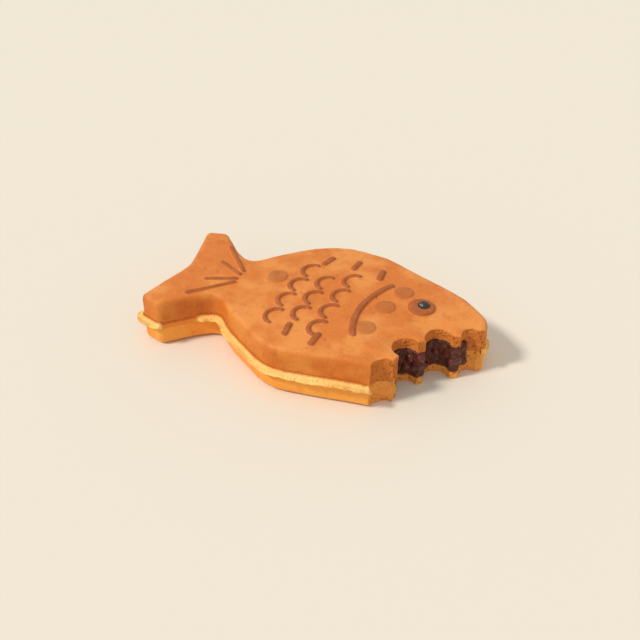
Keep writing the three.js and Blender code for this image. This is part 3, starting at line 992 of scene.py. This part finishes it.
def crust_material(name, golden, pale, brown, painted_wall_shade, crumb, crumb_specks_and_pore_shade):
    paint, tree, shader = new_material(
        name, 0.5, Subsurface_Weight=0.04, Subsurface_Scale=0.0025, Subsurface_Radius=(1.0, 0.5, 0.25),
        Specular_IOR_Level=0.25,
    )
    spots = sums(tree, "MULTIPLY", mask_of(tree, "spots"), SPOT_BROWN)
    toast = sums(tree, "MAXIMUM", mask_of(tree, "relief"), spots)
    torn = mask_of(tree, "crumb")
    baked = put(tree, "ShaderNodeGroup", node_tree=browning)
    for socket, value in (("Golden", golden), ("Pale", pale), ("Brown", brown), ("Freckles", 0.3)):
        baked.inputs[socket].default_value = value
    tree.links.new(toast, baked.inputs["Toast"])
    skin = put(tree, "ShaderNodeGroup", (("Pinholes", 0.5),), node_tree=crust_grain)
    # Pinholes are darkened with a painted shade.
    holes = sums(tree, "MULTIPLY", skin.outputs["Holes"], PINHOLE_SHADE)
    crust = mixed(tree, holes, baked.outputs["Color"], brown)
    # Upright sides are darkened by a painted shade.
    crust = mixed(tree, mask_of(tree, "painted_wall_shade"), crust, painted_wall_shade, "MULTIPLY")
    cut = put(tree, "ShaderNodeGroup", node_tree=crumb_look)
    for socket, value in (("Crumb", crumb), ("Deep", crumb_specks_and_pore_shade), ("Paste", PASTE_STAIN)):
        cut.inputs[socket].default_value = value
    for socket, value in (("Crust", crust), ("Torn", torn), ("Pores", mask_of(tree, "pores")),
                          ("Smear", mask_of(tree, "smear"))):
        tree.links.new(value, cut.inputs[socket])
    tree.links.new(cut.outputs["Color"], shader.inputs["Base Color"])
    sheen = between(tree, baked.outputs["Patch"], 0.3, 0.7, 0.40, 0.56)
    rough = sums(tree, "MAXIMUM", sheen, sums(tree, "MULTIPLY", torn, CRUMB_ROUGHNESS))
    tree.links.new(rough, shader.inputs["Roughness"])
    height = sums(tree, "ADD", skin.outputs["Height"], cut.outputs["Height"])
    bumped(tree, shader, height, 0.2)
    return paint


upper_paint = crust_material(
    "golden_crust",
    golden=(0.750, 0.209, 0.0335, 1),
    pale=(0.87, 0.310, 0.067, 1),
    brown=(0.43, 0.112, 0.026, 1),
    painted_wall_shade=(0.86, 0.80, 0.60, 1),
    crumb=(0.64, 0.194, 0.032, 1),
    crumb_specks_and_pore_shade=(0.46, 0.126, 0.021, 1),
)
lower_paint = crust_material(
    "pale_crust",
    golden=(0.93, 0.328, 0.056, 1),
    pale=(0.96, 0.400, 0.082, 1),
    brown=(0.56, 0.170, 0.038, 1),
    painted_wall_shade=(1.0, 1.0, 0.75, 1),
    crumb=(0.88, 0.350, 0.070, 1),
    crumb_specks_and_pore_shade=(0.63, 0.200, 0.037, 1),
)
upper_crust.data.materials.append(upper_paint)
lower_crust.data.materials.append(lower_paint)
print("materials", upper_paint.name, lower_paint.name)

# %% [markdown]
# ## The finish of the flash
# The flash is almost only surface, so it dries out pale and crisp, and catches brown along its rim. It is
# darker within a millimetre of the bite, and where it has broken away it shows the colours of the two
# shells.

# %% Flash material
FLASH_GOLD = (0.97, 0.560, 0.145, 1)
FLASH_PALE = (0.99, 0.64, 0.197, 1)
FLASH_BROWN = (0.62, 0.23, 0.060, 1)
FLASH_TORN = (0.84, 0.66, 0.5, 1)
# The scar colours copy the shells' upright sides, painted side shade included.
SCAR_LOW = (0.84, 0.28, 0.042, 1)
SCAR_HIGH = (0.58, 0.145, 0.020, 1)

flash_paint, tree, shader = new_material(
    "crisp_flash", 0.65, Subsurface_Weight=0.04, Subsurface_Scale=0.0015, Subsurface_Radius=(1.0, 0.5, 0.25),
    Specular_IOR_Level=0.2,
)
baked = put(tree, "ShaderNodeGroup", (("Golden", FLASH_GOLD), ("Pale", FLASH_PALE), ("Brown", FLASH_BROWN),
                                      ("Freckles", 0.35)), node_tree=browning)
tree.links.new(sums(tree, "MULTIPLY", mask_of(tree, "rim"), 0.5), baked.inputs["Toast"])
skin = put(tree, "ShaderNodeGroup", (("Pinholes", 0.9),), node_tree=crust_grain)
# Pinholes, blisters and notches are darkened with a painted shade.
dark = sums(tree, "MAXIMUM", skin.outputs["Holes"], between(tree, mask_of(tree, "pores"), 0.1, 0.6))
colour = mixed(tree, sums(tree, "MULTIPLY", dark, 0.3), baked.outputs["Color"], FLASH_BROWN)
colour = mixed(tree, mask_of(tree, "torn"), colour, FLASH_TORN, "MULTIPLY")
scar = mixed(tree, mask_of(tree, "above"), SCAR_LOW, SCAR_HIGH)
tree.links.new(mixed(tree, mask_of(tree, "broken"), colour, scar), shader.inputs["Base Color"])
tree.links.new(between(tree, baked.outputs["Patch"], 0.3, 0.7, 0.55, 0.75), shader.inputs["Roughness"])
bumped(tree, shader, skin.outputs["Height"], 0.35)
flash.data.materials.append(flash_paint)
print("material", flash_paint.name)

# %% [markdown]
# ## The finish of the filling
# Paste is dark red-brown and moist. The mash scatters light, so it is rougher, while the skins of whole
# beans are tight, redder and shine. One mask from the sculpting separates the two.

# %% Paste material
MASH_DARK = (0.059, 0.013, 0.008, 1)
MASH_LIGHT = (0.140, 0.036, 0.019, 1)
BEAN_RED = (0.128, 0.021, 0.013, 1)

paste_paint, tree, shader = new_material("bean_paste", 0.35, Coat_Roughness=0.12, Specular_IOR_Level=0.25)
place = put(tree, "ShaderNodeTexCoord").outputs["Object"]
mash = mixed(tree, between(tree, noise(tree, place, 1.6, 4), 0.35, 0.68), MASH_DARK, MASH_LIGHT)
skin = mask_of(tree, "bean_skin")
tree.links.new(mixed(tree, skin, mash, BEAN_RED), shader.inputs["Base Color"])
wet = between(tree, noise(tree, place, 2.4, 2), 0.35, 0.65, 0.3, 0.6)
tree.links.new(sums(tree, "SUBTRACT", wet, sums(tree, "MULTIPLY", skin, 0.1)), shader.inputs["Roughness"])
coat = between(tree, noise(tree, place, 3.5, 1), 0.4, 0.6, 0.0, 0.2)
shine = sums(tree, "MULTIPLY", skin, 0.35)
tree.links.new(sums(tree, "MAXIMUM", coat, shine), shader.inputs["Coat Weight"])
bumped(tree, shader, noise(tree, place, 0.5, 3), 0.12)
bean_filling.data.materials.append(paste_paint)
print("material", paste_paint.name)

# %% Eye material
EYE_DARK = (0.022, 0.018, 0.015, 1)
EYE_BROWN = (0.060, 0.040, 0.030, 1)

eye_paint, tree, shader = new_material("dark_bean", 0.25, Coat_Weight=0.35, Coat_Roughness=0.2)
place = put(tree, "ShaderNodeTexCoord").outputs["Object"]
streak = between(tree, noise(tree, place, 0.9, 3), 0.4, 0.7)
tree.links.new(mixed(tree, streak, EYE_DARK, EYE_BROWN), shader.inputs["Base Color"])
tree.links.new(between(tree, noise(tree, place, 1.4, 2), 0.3, 0.7, 0.3, 0.46), shader.inputs["Roughness"])
bumped(tree, shader, noise(tree, place, 0.35, 2), 0.04)
eye.data.materials.append(eye_paint)
print("material", eye_paint.name)

# %% [markdown]
# ## Hand each piece over
# Each piece stands for its solid, which is hidden, and rides on the one body of the cake.

# %% Attach the pieces and hide the solids
PIECES = (
    (upper_crust, "upper_batter", "crust"),
    (lower_crust, "lower_batter", "pale_crust"),
    (flash, "seam_flash", "crisp_flash"),
    (bean_filling, "bean_paste", "bean_paste"),
    (eye, "eye_bead", "eye_bead"),
)
for piece, node_name, slot_name in PIECES:
    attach(piece, "root")
    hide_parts(node_name)
    print(piece.name, "stands for", node_name)
